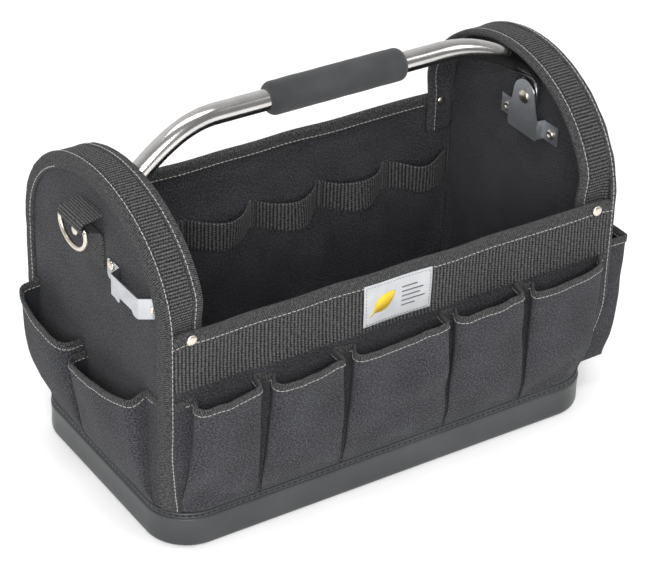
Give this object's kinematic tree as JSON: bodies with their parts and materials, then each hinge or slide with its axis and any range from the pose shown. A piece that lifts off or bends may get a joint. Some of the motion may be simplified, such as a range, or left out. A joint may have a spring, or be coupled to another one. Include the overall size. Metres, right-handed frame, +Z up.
{
  "type": "garden tool bag",
  "caption": "Open-topped fabric tool tote on a moulded rubber tray, with arched ends, bellows pockets, tool loops inside and a fold-down tube handle.",
  "frame": {"origin": "middle of the tray's underside, on the ground", "axes": "+X along the bag towards the end with the box pocket, -Y towards the front with the label, +Z up"},
  "size_m": [0.5316, 0.2976, 0.358],
  "materials": {
    "fabric": "woven polyester, charcoal black, matt",
    "webbing": "ribbed polyester webbing, black, slight sheen",
    "binding": "folded binding tape with pale grey stitching",
    "tray_rubber": "moulded rubber, dark grey, satin with a fine grain",
    "board": "stiffener board covered in black fabric",
    "tube_metal": "polished, clear",
    "zinc": "bright zinc plated sheet",
    "nickel": "nickel plated, warm",
    "foam": "closed-cell foam, dark grey, matt",
    "label": null
  },
  "bodies": {
    "bag": {"base_tray": "tray_rubber", "base_board": "board", "front_panel": "fabric", "back_panel": "fabric", "left_end_panel": "fabric", "right_end_panel": "fabric", "left_gusset": "fabric", "left_gusset_webbing": "webbing", "left_outer_binding": "binding", "left_inner_binding": "binding", "right_gusset": "fabric", "right_gusset_webbing": "webbing", "right_outer_binding": "binding", "right_inner_binding": "binding", "front_rim_binding": "binding", "front_webbing_band": "webbing", "front_left_rim_rivet": "nickel", "front_right_rim_rivet": "nickel", "back_rim_binding": "binding", "back_webbing_band": "webbing", "back_left_rim_rivet": "nickel", "back_right_rim_rivet": "nickel", "front_label": "label", "front_pocket_1": "fabric", "front_pocket_2": "fabric", "front_pocket_3": "fabric", "front_pocket_4": "fabric", "front_pocket_5": "fabric", "back_pocket_1": "fabric", "back_pocket_2": "fabric", "back_pocket_3": "fabric", "back_pocket_4": "fabric", "back_pocket_5": "fabric", "left_front_pocket": "fabric", "left_back_pocket": "fabric", "right_box_pocket": "fabric", "tool_loop_1": "webbing", "tool_loop_2": "webbing", "tool_loop_3": "webbing", "tool_loop_4": "webbing", "tool_loop_5": "webbing", "tool_loop_6": "webbing", "left_handle_bracket": "zinc", "left_pivot_rivet": "nickel", "left_front_bracket_screw": "nickel", "left_back_bracket_screw": "nickel", "left_ring_strap": "webbing", "right_handle_bracket": "zinc", "right_pivot_rivet": "nickel", "right_front_bracket_screw": "nickel", "right_back_bracket_screw": "nickel", "right_ring_strap": "webbing", "tape_clip": "zinc", "tape_clip_rivet": "nickel"},
    "handle": {"handle_tube": "tube_metal", "handle_grip": "foam"},
    "left_ring": {"left_d_ring": "nickel"},
    "right_ring": {"right_d_ring": "nickel"}
  },
  "joints": [
    {"name": "handle_fold", "type": "hinge", "parent": "bag", "child": "handle", "pos_m": [0, 0, 0.274], "axis": [1, 0, 0], "range_deg": [-90, 90]},
    {"name": "left_ring_swing", "type": "hinge", "parent": "bag", "child": "left_ring", "pos_m": [-0.249, 0, 0.2775], "axis": [0, 1, 0], "range_deg": [-30, 140]},
    {"name": "right_ring_swing", "type": "hinge", "parent": "bag", "child": "right_ring", "pos_m": [0.249, 0, 0.2775], "axis": [0, -1, 0], "range_deg": [-30, 140]}
  ]
}
